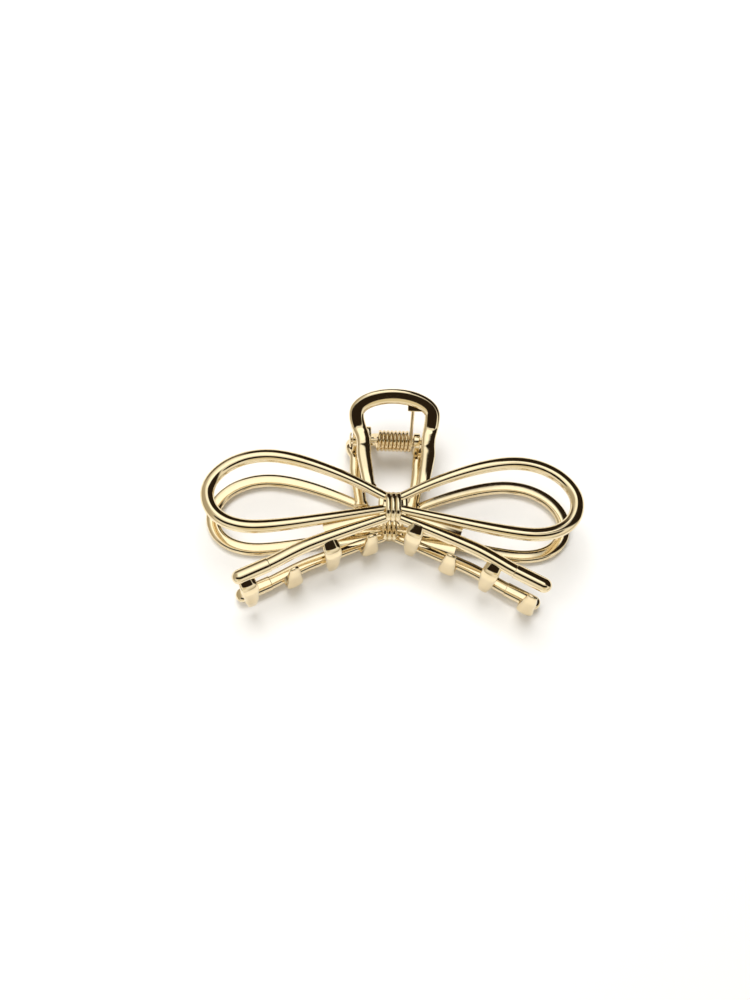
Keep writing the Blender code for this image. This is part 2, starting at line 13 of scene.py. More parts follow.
import bpy
import numpy as np
from mathutils import Matrix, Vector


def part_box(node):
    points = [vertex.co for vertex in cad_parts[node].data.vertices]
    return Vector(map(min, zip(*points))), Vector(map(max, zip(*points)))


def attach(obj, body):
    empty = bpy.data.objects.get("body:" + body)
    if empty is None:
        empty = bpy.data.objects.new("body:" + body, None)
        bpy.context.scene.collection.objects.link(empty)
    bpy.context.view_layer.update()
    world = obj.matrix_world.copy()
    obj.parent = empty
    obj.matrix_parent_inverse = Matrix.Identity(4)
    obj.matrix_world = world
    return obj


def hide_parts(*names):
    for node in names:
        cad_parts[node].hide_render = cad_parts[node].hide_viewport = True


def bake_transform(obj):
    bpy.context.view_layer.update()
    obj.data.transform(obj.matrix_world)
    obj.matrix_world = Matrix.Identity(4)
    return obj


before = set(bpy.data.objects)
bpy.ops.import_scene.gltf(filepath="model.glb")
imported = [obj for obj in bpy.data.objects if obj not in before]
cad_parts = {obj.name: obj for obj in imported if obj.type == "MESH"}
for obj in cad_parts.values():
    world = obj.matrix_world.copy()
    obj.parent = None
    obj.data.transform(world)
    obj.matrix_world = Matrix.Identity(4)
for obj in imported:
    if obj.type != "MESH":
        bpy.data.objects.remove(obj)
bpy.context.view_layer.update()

bl_info = {
    "name": "Bow Claw Clip",
    "version": (1, 0, 0),
    "blender": (4, 5, 0),
    "location": "View3D > Sidebar > Claw Clip",
    "description": "Plated bow claw clip with its hinge and spring",
    "category": "Add Mesh",
}

MM = 0.001
UP = np.array((0.0, 0.0, 1.0))
HINGE = np.array(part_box("hinge_pin"), float).mean(axis=0)   # middle of the pin
STAND = HINGE[2]                                            # from the middle plane to the floor
HALVES = ("front", "back")
SIDES = (-1, 1)

# Places in the casting frame. Those of the bow are measured from the knot.
TAIL_BEND = (19.3 * MM, -10.2 * MM)
TAIL_SEAM = (26.9 * MM, -14.5 * MM)
TAIL_END = (33.1 * MM, -17.6 * MM)
TAIL_ROUTE = np.array([(1.55 * MM, -3.0 * MM), TAIL_BEND, TAIL_SEAM, TAIL_END])
TAIL_HEIGHT = 7.1 * MM
LOOP_RETURN = (31.0 * MM, -6.3 * MM)          # where a loop's lower rod starts back to the knot
BINDING_MIDDLE = -0.3 * MM
TOOTH_PLACES = (-32.2 * MM, -14.2 * MM, 5.5 * MM, 23.0 * MM)
EAR_SPANS = ((-6.5 * MM, -5.0 * MM), (7.9 * MM, 9.2 * MM))
ARCH_MIDDLE = 0.2 * MM
BOW_ARM_HEIGHT = 5.7 * MM                     # where the arms leave the bow
LEDGE_Y = -0.7 * MM                           # the line that a ledge leans about
LEDGE_DEPTH = 1.6 * MM
LEDGE_BOTTOM, LEDGE_TOP = -0.75 * MM, 0.15 * MM
HEAD_RADIUS = 1.8 * MM
COIL_TURNS = 8
COIL_MIDDLE = 0.45 * MM
LEG_GAP = 0.3 * MM                            # between a spring leg and its ledge
LEG_OFFSET = 0.4 * MM                         # how far past the coil's end a leg ends

# A handle: how far it reaches past the pin, the height of its arch, the lean and place of its ledge, where
# it starts to bend, and the length and angle of its quick bend and of its slow one
Handle = namedtuple("Handle", "reach crown lean ledge begin quick slow")
FRONT_HANDLE = Handle(
    reach=9.3 * MM,
    crown=4.3 * MM,
    lean=math.radians(22.0),
    ledge=5.7 * MM,
    begin=-0.5 * MM,
    quick=(2 * MM, 0.35),
    slow=(8 * MM, 0.17),
)
BACK_HANDLE = Handle(
    reach=5.9 * MM,
    crown=4.0 * MM,
    lean=math.radians(34.0),
    ledge=2.5 * MM,
    begin=-2.0 * MM,
    quick=(2.6 * MM, 0.6),
    slow=(6 * MM, 0.05),
)

# The camera, and the point in the clip that its direction in the studio is taken from
CAMERA_PLACE = (-0.0146, -0.0952, 0.2556)
CAMERA_RIGHT = (0.9987, 0.0132, 0.049)
CAMERA_DOWN = (0.030, -0.9328, -0.36)
CAMERA_LENS = 41.6
CLIP_MIDDLE = (0.0, 0.0, 0.015)


def length(name, description, default):
    return bpy.props.FloatProperty(
        name=name, description=description, default=default, unit="LENGTH", subtype="DISTANCE", precision=5
    )


def colour(name, description, default):
    return bpy.props.FloatVectorProperty(
        name=name, description=description, default=default, subtype="COLOR", size=3, min=0.0, max=1.0
    )


def share(name, description, default):
    return bpy.props.FloatProperty(
        name=name, description=description, default=default, min=0.0, max=2.0, subtype="FACTOR"
    )


class ClipBowSizes(bpy.types.PropertyGroup):
    """Sizes of the bow's rods and of the binding around its knot"""

    knot_drop: length("Knot drop", "From the pin axis to the knot", 18.7 * MM)
    knot_height: length("Knot height", "Knot above the middle plane", 6.8 * MM)
    rod_width: length("Rod width", "Width of the loops' and tails' rods", 3.08 * MM)
    rod_thickness: length("Rod thickness", "Thickness of the rods", 2.0 * MM)
    web_reach: length("Web reach", "Where the sunk web between loop and tail ends", 15.2 * MM)
    rib_radius: length("Rib radius", "Radius of one turn of the binding", 0.6 * MM)
    rib_pitch: length("Rib pitch", "Distance between the turns of the binding", 1.1 * MM)
    end_scale: share("End piece scale", "Thickness of the tails' end pieces beside the tails", 1.1)


class ClipGripSizes(bpy.types.PropertyGroup):
    """Sizes of the teeth"""

    root_width: length("Tooth width", "Width of a tooth at its shoulder", 3.9 * MM)
    tip_width: length("Tip width", "Width of a tooth near its tip", 2.3 * MM)
    bulge: length("Tooth bulge", "How far a tooth stands outside the tail", 3.3 * MM)
    inner_bulge: length("Inner tooth bulge", "The same for the tooth beside the knot", 2.65 * MM)
    drop: length("Tooth drop", "From the top of a tooth to its tip", 13.1 * MM)


class ClipHandleSizes(bpy.types.PropertyGroup):
    """Sizes of the arms and of the arched handles"""

    arm_width: length("Arm width", "Width of an arm", 3.3 * MM)
    arm_height: length("Arm height", "Middle of the arms above the pin axis", 4.6 * MM)
    band_width: length("Band width", "Width of the arch's band", 3.5 * MM)
    band_thickness: length("Band thickness", "Thickness of arms and band", 2.0 * MM)
    arch_half: length("Arch half width", "Half the arch's width, to the middle of its band", 8.75 * MM)
    flare: length("Flare", "Radius where an arm spreads into the bow", 0.4 * MM)


class ClipHingeSizes(bpy.types.PropertyGroup):
    """Sizes of the pin, the ears and the spring"""

    pin_radius: length("Pin radius", "Radius of the hinge pin", 0.5 * MM)
    ear_radius: length("Ear radius", "Radius of the ears' round ends", 2.0 * MM)
    bore_radius: length("Bore radius", "Radius of the bore in an ear", 0.8 * MM)
    wire_radius: length("Wire radius", "Radius of the spring's wire", 0.4 * MM)
    coil_radius: length("Coil radius", "To the middle of the spring's wire", 2.1 * MM)
    coil_pitch: length("Coil pitch", "Distance between turns", 0.9 * MM)


class ClipFinish(bpy.types.PropertyGroup):
    """Colours and wear of the plating, and the floor"""

    plating: colour("Plating", "Pale gold plating", (0.87, 0.735, 0.49))
    rubbed: colour("Rubbed plating", "Plating where edges have rubbed", (0.90, 0.79, 0.57))
    spring: colour("Spring plating", "Plating of the spring wire", (0.85, 0.69, 0.44))
    floor: colour("Floor", "Plain pale floor", (0.93, 0.925, 0.92))
    wear: share("Wear", "Strength of the rubbing, scratches and cast ripple", 1.0)


# Surfaces

def unit(vectors):
    return vectors / np.linalg.norm(vectors, axis=-1, keepdims=True)


def route(stations, steps=40):
    """Path through stations of (place, direction, reach, width, height).

    Each span is a cubic Bezier curve: (1-t)^3 a + 3(1-t)^2 t b + 3(1-t) t^2 c + t^3 d, where b and c lie
    one reach from the span's ends along their directions. Width and height run between stations as
    3t^2 - 2t^3. Returns the points and an array of (width, height).
    """
    places = np.array([s[0] for s in stations], float)
    aims = unit(np.array([s[1] for s in stations], float)) * np.array([[s[2]] for s in stations])
    sizes = np.array([s[3:5] for s in stations], float)
    t = np.linspace(0.0, 1.0, steps + 1)[None, :, None]
    a, d = places[:-1, None], places[1:, None]
    b, c = (places + aims)[:-1, None], (places - aims)[1:, None]
    spans = (1 - t) ** 3 * a + 3 * (1 - t) ** 2 * t * b + 3 * (1 - t) * t**2 * c + t**3 * d
    ease = t * t * (3 - 2 * t)
    size_spans = sizes[:-1, None] * (1 - ease) + sizes[1:, None] * ease
    points = np.concatenate([spans[:, :-1].reshape(-1, 3), places[-1:]])
    carried = np.concatenate([size_spans[:, :-1].reshape(-1, 2), sizes[-1:]])
    return points, carried


def round_ends(points, sizes, first=0.0, last=0.0, rows=9):
    """Carry a path past its ends by the lengths first and last.

    The place moves on as the sine of an angle, and the size falls as its cosine.
    """
    turn = np.linspace(0.0, math.pi / 2, rows + 1)[1:-1, None]
    if first > 0.0:
        back = unit(points[0] - points[1])
        points = np.concatenate([(points[0] + back * first * np.sin(turn))[::-1], points])
        sizes = np.concatenate([(sizes[0] * np.cos(turn))[::-1], sizes])
    if last > 0.0:
        ahead = unit(points[-1] - points[-2])
        points = np.concatenate([points, points[-1] + ahead * last * np.sin(turn)])
        sizes = np.concatenate([sizes, sizes[-1] * np.cos(turn)])
    return points, sizes


def section(count=60, top=1.95, back=3.0, waist=-0.15):
    """Closed outline in half widths and half heights.

    |x|^n + |y|^n = 1 about the waist line, with its own n above and below it. The edge value is how near
    a point is to the outline's sides, from 0 on the faces to 1.
    """
    turn = np.linspace(0.0, math.tau, count, endpoint=False)
    across, along = np.cos(turn), np.sin(turn)
    power = np.where(along >= 0.0, 2.0 / top, 2.0 / back)
    x = np.sign(across) * np.abs(across) ** power
    rise = np.where(along >= 0.0, 1.0 - waist, 1.0 + waist)
    y = waist + rise * np.sign(along) * np.abs(along) ** power
    return x, y, np.abs(x) ** 10


def sweep(points, sizes, outline, side=None):
    """Section carried along a path: place + width x side + height y up, on a grid of path by outline.

    The side is level and square to the path, or the given direction made square to it.
    """
    ahead = unit(np.gradient(points, axis=0))
    if side is None:
        side = unit(np.cross(ahead, UP))
    else:
        side = np.broadcast_to(side, points.shape)
        side = unit(side - (side * ahead).sum(axis=1, keepdims=True) * ahead)
    above = np.cross(side, ahead)
    x, y, edge = outline
    half = sizes / 2
    grid = points[:, None] + side[:, None] * (half[:, :1] * x)[..., None]
    grid = grid + above[:, None] * (half[:, 1:] * y)[..., None]
    return grid, np.broadcast_to(edge, grid.shape[:2])


def shell(surface, ring=False):
    """Closed surface from a grid that runs round in its second direction.

    Its ends meet in poles, or each other where it is a ring. Faces are turned over if the enclosed
    volume, the sum of corner triple products, comes out negative.
    """
    grid, edge = surface
    rows, around = grid.shape[:2]
    i, j = np.meshgrid(np.arange(rows if ring else rows - 1), np.arange(around), indexing="ij")
    after, beside = (i + 1) % rows, (j + 1) % around
    corners = (i * around + j, i * around + beside, after * around + beside, after * around + j)
    quads = np.stack(corners, axis=-1).reshape(-1, 4)
    verts = grid.reshape(-1, 3)
    edge = edge.reshape(-1)
    fans = np.zeros((0, 3), int)
    if not ring:
        k = np.arange(around)
        beside = (k + 1) % around
        count = rows * around
        base = (rows - 1) * around
        near = np.stack([np.full(around, count), beside, k], axis=-1)
        far = np.stack([np.full(around, count + 1), base + k, base + beside], axis=-1)
        fans = np.concatenate([near, far])
        verts = np.concatenate([verts, grid[:1].mean(axis=1), grid[-1:].mean(axis=1)])
        edge = np.concatenate([edge, edge[:1] * 0.0, edge[:1] * 0.0])
    halves = np.concatenate([quads[:, :3], quads[:, [0, 2, 3]], fans])
    a, b, c = (verts[halves[:, n]] for n in range(3))
    if (a * np.cross(b, c)).sum() < 0.0:
        quads, fans = quads[:, ::-1], fans[:, ::-1]
    return verts, quads, fans, edge


def on_half(verts, half):
    """Casting frame to the clip's frame: the back half is turned about Y and ends at the floor."""
    if half == "back":
        verts = np.stack([verts[:, 0], verts[:, 1], np.minimum(verts[:, 2], STAND)], axis=-1)
        verts = verts * np.array((-1.0, 1.0, -1.0))
    return verts + HINGE


def make_piece(name, shells, material, half="front", crease=38.0):
    """One mesh object from closed shells, at the origin, with its place in its mesh.

    Its edge attribute holds the shells' edge values, where the plating rubs off first.
    """
    parts = [(on_half(verts, half), quads, fans, edge) for verts, quads, fans, edge in shells]
    starts = np.cumsum([0] + [len(part[0]) for part in parts])[:-1]
    verts = np.concatenate([part[0] for part in parts])
    faces = []
    for part, start in zip(parts, starts):
        faces += (part[1] + start).tolist() + (part[2] + start).tolist()
    mesh = bpy.data.meshes.new(name)
    mesh.from_pydata(verts.tolist(), [], faces)
    mesh.update()
    mesh.shade_smooth()
    mesh.set_sharp_from_angle(angle=math.radians(crease))
    edge = mesh.attributes.new("edge", "FLOAT", "POINT")
    edge.data.foreach_set("value", np.concatenate([part[3] for part in parts]).astype(np.float32))
    mesh.materials.append(material)
    obj = bpy.data.objects.new(name, mesh)
    bpy.context.scene.collection.objects.link(obj)
    return obj


def add_to_half(name, shells, material, half):
    """A piece of one half, which stands for that half's jaw or for its binding."""
    obj = make_piece(f"{half}_{name}", shells, material, half)
    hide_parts(f"{half}_knot_binding" if name == "knot_binding_turns" else f"{half}_jaw")
    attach(obj, f"{half}_half")
    return obj


def at_knot(x, y, height, bow):
    """Place in the casting frame from x and y measured from the knot."""
    return (x, y - bow.knot_drop, height)


# Materials

def group_socket(tree, name, kind, default=None, out=False):
    socket = tree.interface.new_socket(name=name, in_out="OUTPUT" if out else "INPUT", socket_type=kind)
    if default is not None:
        socket.default_value = default


def noise(tree, coordinates, scale, detail, rough=0.5):
    node = tree.nodes.new("ShaderNodeTexNoise")
    node.inputs["Scale"].default_value = scale
    node.inputs["Detail"].default_value = detail
    node.inputs["Roughness"].default_value = rough
    tree.links.new(coordinates, node.inputs["Vector"])
    return node.outputs["Fac"]


def calculate(tree, operation, first, second=None, clamp=False):
    node = tree.nodes.new("ShaderNodeMath")
    node.operation = operation
    node.use_clamp = clamp
    for value, socket in zip((first, second), node.inputs):
        if value is None:
            continue
        if isinstance(value, bpy.types.NodeSocket):
            tree.links.new(value, socket)
        else:
            socket.default_value = value
    return node.outputs["Value"]


def ramp(tree, value, low, high, low_out=0.0, high_out=1.0):
    node = tree.nodes.new("ShaderNodeMapRange")
    node.interpolation_type = "SMOOTHSTEP"
    tree.links.new(value, node.inputs["Value"])
    for name, number in (("From Min", low), ("From Max", high), ("To Min", low_out), ("To Max", high_out)):
        node.inputs[name].default_value = number
    return node.outputs["Result"]


def blend_colour(tree, factor, first, second):
    node = tree.nodes.new("ShaderNodeMix")
    node.data_type = "RGBA"
    tree.links.new(factor, node.inputs["Factor"])
    tree.links.new(first, node.inputs["A"])
    tree.links.new(second, node.inputs["B"])
    return node.outputs["Result"]


def worn_plating_group():
    """Shared wear of polished plating: cast ripple, hairline scratches, pits and rubbed edges."""
    if "worn_plating" in bpy.data.node_groups:
        return bpy.data.node_groups["worn_plating"]
    tree = bpy.data.node_groups.new("worn_plating", "ShaderNodeTree")
    group_socket(tree, "Plating", "NodeSocketColor", (0.9, 0.8, 0.5, 1.0))
    group_socket(tree, "Rubbed", "NodeSocketColor", (0.9, 0.8, 0.6, 1.0))
    group_socket(tree, "Polish", "NodeSocketFloat", 0.06)
    group_socket(tree, "Wear", "NodeSocketFloat", 1.0)
    group_socket(tree, "Color", "NodeSocketColor", out=True)
    group_socket(tree, "Roughness", "NodeSocketFloat", out=True)
    group_socket(tree, "Height", "NodeSocketFloat", out=True)
    given = tree.nodes.new("NodeGroupInput").outputs
    result = tree.nodes.new("NodeGroupOutput").inputs
    place = tree.nodes.new("ShaderNodeTexCoord").outputs["Object"]

    rubbing = noise(tree, place, 900.0, 5.0)
    edge = tree.nodes.new("ShaderNodeAttribute")
    edge.attribute_name = "edge"
    worn = calculate(tree, "MULTIPLY", edge.outputs["Fac"], ramp(tree, rubbing, 0.42, 0.62))
    worn = calculate(tree, "MULTIPLY", worn, given["Wear"], clamp=True)

    drawn = tree.nodes.new("ShaderNodeMapping")
    drawn.inputs["Scale"].default_value = (1.0, 9.0, 1.0)
    drawn.inputs["Rotation"].default_value = (0.0, 0.0, 0.6)
    tree.links.new(place, drawn.inputs["Vector"])
    hairlines = ramp(tree, noise(tree, drawn.outputs["Vector"], 1100.0, 2.0), 0.66, 0.74)

    cells = tree.nodes.new("ShaderNodeTexVoronoi")
    cells.inputs["Scale"].default_value = 700.0
    tree.links.new(place, cells.inputs["Vector"])
    pits = ramp(tree, cells.outputs["Distance"], 0.03, 0.09, 1.0, 0.0)

    warmth = ramp(tree, noise(tree, place, 160.0, 3.0), 0.35, 0.7, 0.0, 0.35)
    deeper = tree.nodes.new("ShaderNodeHueSaturation")
    deeper.inputs["Saturation"].default_value = 1.18
    deeper.inputs["Value"].default_value = 0.93
    tree.links.new(given["Plating"], deeper.inputs["Color"])
    base = blend_colour(tree, warmth, given["Plating"], deeper.outputs["Color"])
    tree.links.new(blend_colour(tree, worn, base, given["Rubbed"]), result["Color"])

    haze = ramp(tree, noise(tree, place, 260.0, 4.0), 0.3, 0.75, 0.0, 0.035)
    marks = calculate(tree, "MULTIPLY", calculate(tree, "ADD", hairlines, pits), 0.10)
    marks = calculate(tree, "ADD", marks, calculate(tree, "MULTIPLY", worn, 0.12))
    marks = calculate(tree, "MULTIPLY", calculate(tree, "ADD", marks, haze), given["Wear"])
    tree.links.new(calculate(tree, "ADD", given["Polish"], marks, clamp=True), result["Roughness"])

    ripple = noise(tree, place, 330.0, 2.0)
    cuts = calculate(tree, "MULTIPLY", calculate(tree, "ADD", hairlines, pits), -0.06)
    height = calculate(tree, "ADD", ripple, cuts)
    tree.links.new(calculate(tree, "MULTIPLY", height, given["Wear"]), result["Height"])
    return tree


def plated(name, plating, rubbed, polish, wear, bump=0.012):
    if name in bpy.data.materials:
        return bpy.data.materials[name]
    material = bpy.data.materials.new(name)
    material.use_nodes = True
    tree = material.node_tree
    shader = tree.nodes["Principled BSDF"]
    shader.inputs["Metallic"].default_value = 1.0
    shader.inputs["Specular Tint"].default_value = (1.0, 0.97, 0.9, 1.0)
    wearing = tree.nodes.new("ShaderNodeGroup")
    wearing.node_tree = worn_plating_group()
    wearing.inputs["Plating"].default_value = (*plating, 1.0)
    wearing.inputs["Rubbed"].default_value = (*rubbed, 1.0)
    wearing.inputs["Polish"].default_value = polish
    wearing.inputs["Wear"].default_value = wear
    relief = tree.nodes.new("ShaderNodeBump")
    relief.inputs["Strength"].default_value = 0.35
    relief.inputs["Distance"].default_value = bump * MM
    tree.links.new(wearing.outputs["Color"], shader.inputs["Base Color"])
    tree.links.new(wearing.outputs["Roughness"], shader.inputs["Roughness"])
    tree.links.new(wearing.outputs["Height"], relief.inputs["Height"])
    tree.links.new(relief.outputs["Normal"], shader.inputs["Normal"])
    return material


def polished_alloy(scene):
    finish = scene.clip_finish
    return plated("polished_pale_gold", finish.plating, finish.rubbed, 0.05, finish.wear)


def spring_wire_finish(scene):
    finish = scene.clip_finish
    return plated("plated_spring_wire", finish.spring, finish.rubbed, 0.12, finish.wear, 0.02)


# Shapes of one casting, in the casting frame

def loop_shell(side, bow):
    """A bow loop: from inside the binding out along the top, round the end and back."""
    wide, thick = bow.rod_width, bow.rod_thickness
    thin = (0.72 * wide, 0.8 * thick)
    tucked = (0.45 * wide, 0.5 * thick)
    deep = bow.knot_height
    stations = [
        (at_knot(side * 0.8 * MM, 1.3 * MM, deep, bow), (side, 0.4, 0), 0.4 * MM, *tucked),
        (at_knot(side * 1.85 * MM, 2.1 * MM, deep, bow), (side * 0.90, 0.44, 0), 0.5 * MM, *thin),
        (at_knot(side * 5.3 * MM, 3.92 * MM, 6.86 * MM, bow), (side * 0.875, 0.48, 0.02), 1.6 * MM, *thin),
        (at_knot(side * 27.5 * MM, 10.8 * MM, 7.7 * MM, bow), (side, 0.02, 0), 8.4 * MM, wide, thick),
        (at_knot(side * 41.19 * MM, 1 * MM, 7.9 * MM, bow), (side * -0.08, -1, 0.1), 4.6 * MM, wide, thick),
        (at_knot(side * LOOP_RETURN[0], LOOP_RETURN[1], 8.1 * MM, bow), (-side, 0, 0), 6 * MM, wide, thick),
        (at_knot(side * 1.85 * MM, -0.9 * MM, deep, bow), (-side, 0.20, -0.06), 9 * MM, *thin),
        (at_knot(side * 0.8 * MM, -0.6 * MM, deep, bow), (-side, 0.3, 0), 0.4 * MM, *tucked),
    ]
    points, sizes = route(stations)
    return shell(sweep(*round_ends(points, sizes, 0.2 * MM, 0.2 * MM), section()))


def tail_at(x, bow):
    """Middle of a tail at x from the knot, on straight runs between its bends."""
    y = np.interp(np.abs(x), TAIL_ROUTE[:, 0], TAIL_ROUTE[:, 1])
    return np.stack([x, y - bow.knot_drop, np.full_like(y, TAIL_HEIGHT)], axis=-1)


def tail_shells(side, bow):
    """A tail up to its seam, then the thicker end piece with a rounded rim and a domed tip."""
    wide, thick = bow.rod_width, bow.rod_thickness
    seam = np.array(at_knot(side * TAIL_SEAM[0], TAIL_SEAM[1], TAIL_HEIGHT, bow))
    end = np.array(at_knot(side * TAIL_END[0], TAIL_END[1], TAIL_HEIGHT, bow))
    along = unit(end - seam)
    thin = (0.72 * wide, 0.8 * thick)
    tucked = (0.5 * wide, 0.5 * thick)
    deep = bow.knot_height
    bend_place = at_knot(side * TAIL_BEND[0], TAIL_BEND[1], TAIL_HEIGHT, bow)
    stations = [
        (at_knot(side * 0.8 * MM, -1.7 * MM, deep, bow), (side, -0.9, 0), 0.5 * MM, *tucked),
        (at_knot(side * 1.85 * MM, -3.0 * MM, deep, bow), (side * 0.93, -0.36, 0), 0.6 * MM, *thin),
        (bend_place, (side * 0.90, -0.46, 0), 4 * MM, wide, thick),
        (seam + along * 0.3 * MM, along, 2.4 * MM, wide, thick),
    ]
    points, sizes = route(stations)
    tail = sweep(*round_ends(points, sizes, 0.2 * MM, 0.1 * MM), section())
    wide_end, thick_end = wide * bow.end_scale, thick * bow.end_scale
    rim = 0.16 * MM
    turn = np.linspace(0.0, math.pi / 2, 8)[:, None]
    start = seam + along * rim * (1 - np.sin(turn))
    bevel = np.array((wide_end, thick_end)) - 2 * rim * (1 - np.cos(turn))
    straight = seam + along * np.linspace(rim, np.linalg.norm(end - seam), 24)[1:, None]
    points = np.concatenate([start[::-1], straight])
    sizes = np.concatenate([bevel[::-1], np.tile((wide_end, thick_end), (len(straight), 1))])
    cap = sweep(*round_ends(points, sizes, 0.0, wide_end / 2, rows=16), section())
    return [shell(tail), shell(cap)]


def web_shell(side, bow):
    """Sunk plate between the loop's lower rod and the tail.

    Its thickness across is 0.35 + 0.65 u^2 of that at its edges, with u from -1 to 1 between the rods. Its
    middle lies 0.35 mm + 0.9 mm x^2 under the rods' middles, with x from 0 at the knot to 1 at its outer end.
    The lower rod is taken to fall evenly from the knot to where the loop starts back.
    """
    x = np.linspace(1.9 * MM, bow.web_reach, 30)
    tail = tail_at(side * x, bow)
    fall = x / LOOP_RETURN[0]
    loop_y = -0.9 * MM - 5.4 * MM * fall - bow.knot_drop
    loop = np.stack([side * x, loop_y, bow.knot_height + 1.3 * MM * fall], axis=-1)
    middle = (loop + tail) / 2 - UP * (0.35 * MM + 0.9 * MM * (x[:, None] / bow.web_reach) ** 2)
    span = np.linalg.norm(loop - tail, axis=1)
    sizes = np.stack([span, np.full_like(span, 1.3 * MM)], axis=-1)
    turn = np.linspace(0.0, math.tau, 48, endpoint=False)
    across = np.cos(turn)
    hollow = np.tanh(6.0 * np.sin(turn)) * (0.35 + 0.65 * across**2)
    return shell(sweep(middle, sizes, (across, hollow, 0.0 * across), side=unit(loop - tail)))


def rounded_block(low, high, power=7.0):
    """Box with rounded edges: each level slice is |x|^n + |y|^n = 1, and slices shrink likewise in height."""
    low, high = np.array(low), np.array(high)
    middle, half = (low + high) / 2, (high - low) / 2
    rise = np.linspace(-math.pi / 2, math.pi / 2, 26)[1:-1, None]
    turn = np.linspace(0.0, math.tau, 40, endpoint=False)[None, :]

    def squared(wave):
        return np.sign(wave) * np.abs(wave) ** (2.0 / power)

    slices = squared(np.cos(rise))
    x, y = slices * squared(np.cos(turn)), slices * squared(np.sin(turn))
    z = squared(np.sin(rise)) + 0.0 * turn
    grid = middle + np.stack([x, y, z], axis=-1) * half
    return grid, np.clip(np.abs(x * y), 0.0, 1.0) ** 3


def knot_shells(bow):
    """Core under the binding and the lumps beside it where the three rods run together."""
    reach, inner, outer = 2.1 * MM, 1.2 * MM, 3.3 * MM
    core = np.array([at_knot(x, BINDING_MIDDLE, bow.knot_height, bow) for x in (-reach, 0.0, reach)])
    sizes = np.array([(4.0 * MM, 1.5 * MM)] * len(core))
    shells = [shell(sweep(*round_ends(core, sizes, 0.2 * MM, 0.2 * MM), section()))]
    for side in SIDES:
        low = at_knot(min(side * inner, side * outer), -3.7 * MM, bow.knot_height - 0.65 * MM, bow)
        high = at_knot(max(side * inner, side * outer), 2.8 * MM, bow.knot_height + 0.35 * MM, bow)
        shells.append(shell(rounded_block(low, high, 4.0)))
    return shells


def tooth_shell(x, out, bow, grip):
    """Petal-shouldered tooth: out over the tail, round a smooth bend and down past the other tail.

    It stands square to the tail at x, and out is how far from the tail it comes down.
    """
    root = tail_at(np.array([x]), bow)[0]
    nearer = np.array([x - 0.5 * MM * np.sign(x)])
    along = unit(root - tail_at(nearer, bow)[0])
    outward = np.cross(along, UP)
    outward = outward * (-1.0 if outward[1] > 0 else 1.0)
    wide, narrow, drop = grip.root_width, grip.tip_width, grip.drop

    def at(away, down):
        return root + outward * away - UP * down

    def aim(away, down):
        return outward * away - UP * down

    slope, thick = 0.4, 1.7 * MM
    shoulder = out - 0.95 * MM
    stations = [
        (at(0.0, 0.0), aim(1, 0.34), 0.4 * MM, 0.84 * wide, 1.5 * MM),
        (at(shoulder, slope * shoulder), aim(1, slope), 0.45 * MM, wide, thick),
        (at(out, 2.7 * MM), aim(0.03, 1), 0.9 * MM, wide, thick),
        (at(out, 0.62 * drop), aim(0, 1), 2.2 * MM, 0.82 * wide, 1.55 * MM),
        (at(0.97 * out, drop - 0.5 * MM), aim(-0.05, 1), 1.4 * MM, narrow, 1.1 * MM),
    ]
    points, sizes = route(stations, 22)
    points, sizes = round_ends(points, sizes, 0.3 * MM, 0.5 * MM)
    outline = section(count=48, top=2.7, back=3.0, waist=0.0)
    return shell(sweep(points, sizes, outline, side=np.cross(outward, UP)))


def bend(grid, form, handle):
    """Bend a flat handle out of its plane along Y.

    Past the line where the bend begins, the lean grows evenly over each (length, angle) in turn, first the
    quick one and then the slow one: y = integral of cos(lean), z = integral of sin(lean).
    """
    along = np.linspace(-30.0 * MM, 30.0 * MM, 3001)
    first = form.quick[1] * np.clip((along - form.begin) / form.quick[0], 0.0, 1.0)
    lean = first + form.slow[1] * np.clip((along - form.begin - form.quick[0]) / form.slow[0], 0.0, 1.0)
    step = along[1] - along[0]
    middle_y = along[0] + step * (np.cumsum(np.cos(lean)) - 1.0)
    middle_z = step * np.cumsum(np.sin(lean))
    y, z = grid[..., 1], grid[..., 2] - handle.arm_height
    angle = np.interp(y, along, lean)
    bent_y = np.interp(y, along, middle_y) - z * np.sin(angle)
    bent_z = np.interp(y, along, middle_z) + z * np.cos(angle) + handle.arm_height
    return np.stack([grid[..., 0], bent_y, bent_z], axis=-1)


